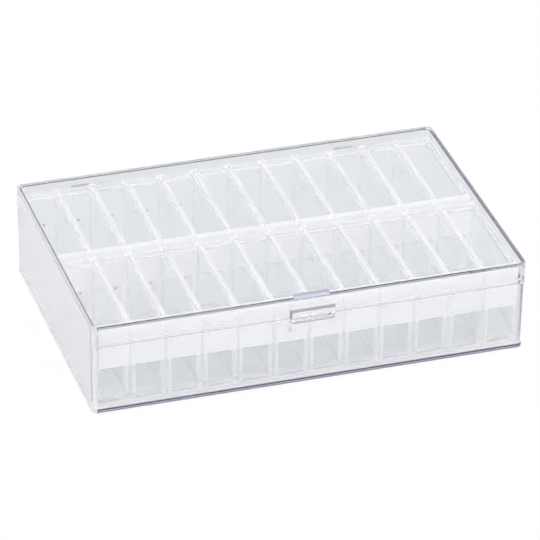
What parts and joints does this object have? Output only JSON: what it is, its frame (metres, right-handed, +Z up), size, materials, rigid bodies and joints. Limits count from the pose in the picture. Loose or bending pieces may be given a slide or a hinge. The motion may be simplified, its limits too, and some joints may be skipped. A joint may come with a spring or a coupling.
{
  "type": "bead storage box",
  "caption": "Clear hinged storage case with two rows of small flip-top boxes for beads, a thumb latch in front and moulded knuckle hinges at the back.",
  "frame": {"origin": "centre of the case's underside, on the surface it rests on", "axes": "+X right along the case's length as seen from the latch side, +Y to the hinge side, +Z up"},
  "size_m": [0.24, 0.165, 0.0528],
  "materials": {
    "clear_case": "gloss",
    "clear_box": "gloss"
  },
  "bodies": {
    "case_base": {"case_base": "clear_case", "front_bin_01": "clear_box", "front_bin_02": "clear_box", "front_bin_03": "clear_box", "front_bin_04": "clear_box", "front_bin_05": "clear_box", "front_bin_06": "clear_box", "front_bin_07": "clear_box", "front_bin_08": "clear_box", "front_bin_09": "clear_box", "front_bin_10": "clear_box", "front_bin_11": "clear_box", "front_bin_12": "clear_box", "back_bin_01": "clear_box", "back_bin_02": "clear_box", "back_bin_03": "clear_box", "back_bin_04": "clear_box", "back_bin_05": "clear_box", "back_bin_06": "clear_box", "back_bin_07": "clear_box", "back_bin_08": "clear_box", "back_bin_09": "clear_box", "back_bin_10": "clear_box", "back_bin_11": "clear_box", "back_bin_12": "clear_box"},
    "case_lid": {"case_lid": "clear_case"},
    "front_flip_lid_01": {"front_flip_lid_01": "clear_box"},
    "front_flip_lid_02": {"front_flip_lid_02": "clear_box"},
    "front_flip_lid_03": {"front_flip_lid_03": "clear_box"},
    "front_flip_lid_04": {"front_flip_lid_04": "clear_box"},
    "front_flip_lid_05": {"front_flip_lid_05": "clear_box"},
    "front_flip_lid_06": {"front_flip_lid_06": "clear_box"},
    "front_flip_lid_07": {"front_flip_lid_07": "clear_box"},
    "front_flip_lid_08": {"front_flip_lid_08": "clear_box"},
    "front_flip_lid_09": {"front_flip_lid_09": "clear_box"},
    "front_flip_lid_10": {"front_flip_lid_10": "clear_box"},
    "front_flip_lid_11": {"front_flip_lid_11": "clear_box"},
    "front_flip_lid_12": {"front_flip_lid_12": "clear_box"},
    "back_flip_lid_01": {"back_flip_lid_01": "clear_box"},
    "back_flip_lid_02": {"back_flip_lid_02": "clear_box"},
    "back_flip_lid_03": {"back_flip_lid_03": "clear_box"},
    "back_flip_lid_04": {"back_flip_lid_04": "clear_box"},
    "back_flip_lid_05": {"back_flip_lid_05": "clear_box"},
    "back_flip_lid_06": {"back_flip_lid_06": "clear_box"},
    "back_flip_lid_07": {"back_flip_lid_07": "clear_box"},
    "back_flip_lid_08": {"back_flip_lid_08": "clear_box"},
    "back_flip_lid_09": {"back_flip_lid_09": "clear_box"},
    "back_flip_lid_10": {"back_flip_lid_10": "clear_box"},
    "back_flip_lid_11": {"back_flip_lid_11": "clear_box"},
    "back_flip_lid_12": {"back_flip_lid_12": "clear_box"}
  },
  "joints": [
    {"name": "case_lid_hinge", "type": "hinge", "parent": "case_base", "child": "case_lid", "pos_m": [0, 0.0809, 0.0408], "axis": [-1, 0, 0], "range_deg": [0, 108]},
    {"name": "front_flip_hinge_01", "type": "hinge", "parent": "case_base", "child": "front_flip_lid_01", "pos_m": [-0.10769, -0.0032, 0.0448], "axis": [-1, 0, 0], "range_deg": [0, 95.04]},
    {"name": "front_flip_hinge_02", "type": "hinge", "parent": "case_base", "child": "front_flip_lid_02", "pos_m": [-0.08811, -0.0032, 0.0448], "axis": [-1, 0, 0], "range_deg": [0, 95.04]},
    {"name": "front_flip_hinge_03", "type": "hinge", "parent": "case_base", "child": "front_flip_lid_03", "pos_m": [-0.06853, -0.0032, 0.0448], "axis": [-1, 0, 0], "range_deg": [0, 95.04]},
    {"name": "front_flip_hinge_04", "type": "hinge", "parent": "case_base", "child": "front_flip_lid_04", "pos_m": [-0.04895, -0.0032, 0.0448], "axis": [-1, 0, 0], "range_deg": [0, 95.04]},
    {"name": "front_flip_hinge_05", "type": "hinge", "parent": "case_base", "child": "front_flip_lid_05", "pos_m": [-0.02937, -0.0032, 0.0448], "axis": [-1, 0, 0], "range_deg": [0, 95.04]},
    {"name": "front_flip_hinge_06", "type": "hinge", "parent": "case_base", "child": "front_flip_lid_06", "pos_m": [-0.00979, -0.0032, 0.0448], "axis": [-1, 0, 0], "range_deg": [0, 95.04]},
    {"name": "front_flip_hinge_07", "type": "hinge", "parent": "case_base", "child": "front_flip_lid_07", "pos_m": [0.00979, -0.0032, 0.0448], "axis": [-1, 0, 0], "range_deg": [0, 95.04]},
    {"name": "front_flip_hinge_08", "type": "hinge", "parent": "case_base", "child": "front_flip_lid_08", "pos_m": [0.02937, -0.0032, 0.0448], "axis": [-1, 0, 0], "range_deg": [0, 95.04]},
    {"name": "front_flip_hinge_09", "type": "hinge", "parent": "case_base", "child": "front_flip_lid_09", "pos_m": [0.04895, -0.0032, 0.0448], "axis": [-1, 0, 0], "range_deg": [0, 95.04]},
    {"name": "front_flip_hinge_10", "type": "hinge", "parent": "case_base", "child": "front_flip_lid_10", "pos_m": [0.06853, -0.0032, 0.0448], "axis": [-1, 0, 0], "range_deg": [0, 95.04]},
    {"name": "front_flip_hinge_11", "type": "hinge", "parent": "case_base", "child": "front_flip_lid_11", "pos_m": [0.08811, -0.0032, 0.0448], "axis": [-1, 0, 0], "range_deg": [0, 95.04]},
    {"name": "front_flip_hinge_12", "type": "hinge", "parent": "case_base", "child": "front_flip_lid_12", "pos_m": [0.10769, -0.0032, 0.0448], "axis": [-1, 0, 0], "range_deg": [0, 95.04]},
    {"name": "back_flip_hinge_01", "type": "hinge", "parent": "case_base", "child": "back_flip_lid_01", "pos_m": [-0.10769, 0.0724, 0.0448], "axis": [-1, 0, 0], "range_deg": [0, 95.04]},
    {"name": "back_flip_hinge_02", "type": "hinge", "parent": "case_base", "child": "back_flip_lid_02", "pos_m": [-0.08811, 0.0724, 0.0448], "axis": [-1, 0, 0], "range_deg": [0, 95.04]},
    {"name": "back_flip_hinge_03", "type": "hinge", "parent": "case_base", "child": "back_flip_lid_03", "pos_m": [-0.06853, 0.0724, 0.0448], "axis": [-1, 0, 0], "range_deg": [0, 95.04]},
    {"name": "back_flip_hinge_04", "type": "hinge", "parent": "case_base", "child": "back_flip_lid_04", "pos_m": [-0.04895, 0.0724, 0.0448], "axis": [-1, 0, 0], "range_deg": [0, 95.04]},
    {"name": "back_flip_hinge_05", "type": "hinge", "parent": "case_base", "child": "back_flip_lid_05", "pos_m": [-0.02937, 0.0724, 0.0448], "axis": [-1, 0, 0], "range_deg": [0, 95.04]},
    {"name": "back_flip_hinge_06", "type": "hinge", "parent": "case_base", "child": "back_flip_lid_06", "pos_m": [-0.00979, 0.0724, 0.0448], "axis": [-1, 0, 0], "range_deg": [0, 95.04]},
    {"name": "back_flip_hinge_07", "type": "hinge", "parent": "case_base", "child": "back_flip_lid_07", "pos_m": [0.00979, 0.0724, 0.0448], "axis": [-1, 0, 0], "range_deg": [0, 95.04]},
    {"name": "back_flip_hinge_08", "type": "hinge", "parent": "case_base", "child": "back_flip_lid_08", "pos_m": [0.02937, 0.0724, 0.0448], "axis": [-1, 0, 0], "range_deg": [0, 95.04]},
    {"name": "back_flip_hinge_09", "type": "hinge", "parent": "case_base", "child": "back_flip_lid_09", "pos_m": [0.04895, 0.0724, 0.0448], "axis": [-1, 0, 0], "range_deg": [0, 95.04]},
    {"name": "back_flip_hinge_10", "type": "hinge", "parent": "case_base", "child": "back_flip_lid_10", "pos_m": [0.06853, 0.0724, 0.0448], "axis": [-1, 0, 0], "range_deg": [0, 95.04]},
    {"name": "back_flip_hinge_11", "type": "hinge", "parent": "case_base", "child": "back_flip_lid_11", "pos_m": [0.08811, 0.0724, 0.0448], "axis": [-1, 0, 0], "range_deg": [0, 95.04]},
    {"name": "back_flip_hinge_12", "type": "hinge", "parent": "case_base", "child": "back_flip_lid_12", "pos_m": [0.10769, 0.0724, 0.0448], "axis": [-1, 0, 0], "range_deg": [0, 95.04]}
  ],
  "couplings": [
    {"joint": "front_flip_hinge_01", "follows": "case_lid_hinge", "ratio": 0.88},
    {"joint": "front_flip_hinge_02", "follows": "case_lid_hinge", "ratio": 0.88},
    {"joint": "front_flip_hinge_03", "follows": "case_lid_hinge", "ratio": 0.88},
    {"joint": "front_flip_hinge_04", "follows": "case_lid_hinge", "ratio": 0.88},
    {"joint": "front_flip_hinge_05", "follows": "case_lid_hinge", "ratio": 0.88},
    {"joint": "front_flip_hinge_06", "follows": "case_lid_hinge", "ratio": 0.88},
    {"joint": "front_flip_hinge_07", "follows": "case_lid_hinge", "ratio": 0.88},
    {"joint": "front_flip_hinge_08", "follows": "case_lid_hinge", "ratio": 0.88},
    {"joint": "front_flip_hinge_09", "follows": "case_lid_hinge", "ratio": 0.88},
    {"joint": "front_flip_hinge_10", "follows": "case_lid_hinge", "ratio": 0.88},
    {"joint": "front_flip_hinge_11", "follows": "case_lid_hinge", "ratio": 0.88},
    {"joint": "front_flip_hinge_12", "follows": "case_lid_hinge", "ratio": 0.88},
    {"joint": "back_flip_hinge_01", "follows": "case_lid_hinge", "ratio": 0.88},
    {"joint": "back_flip_hinge_02", "follows": "case_lid_hinge", "ratio": 0.88},
    {"joint": "back_flip_hinge_03", "follows": "case_lid_hinge", "ratio": 0.88},
    {"joint": "back_flip_hinge_04", "follows": "case_lid_hinge", "ratio": 0.88},
    {"joint": "back_flip_hinge_05", "follows": "case_lid_hinge", "ratio": 0.88},
    {"joint": "back_flip_hinge_06", "follows": "case_lid_hinge", "ratio": 0.88},
    {"joint": "back_flip_hinge_07", "follows": "case_lid_hinge", "ratio": 0.88},
    {"joint": "back_flip_hinge_08", "follows": "case_lid_hinge", "ratio": 0.88},
    {"joint": "back_flip_hinge_09", "follows": "case_lid_hinge", "ratio": 0.88},
    {"joint": "back_flip_hinge_10", "follows": "case_lid_hinge", "ratio": 0.88},
    {"joint": "back_flip_hinge_11", "follows": "case_lid_hinge", "ratio": 0.88},
    {"joint": "back_flip_hinge_12", "follows": "case_lid_hinge", "ratio": 0.88}
  ]
}
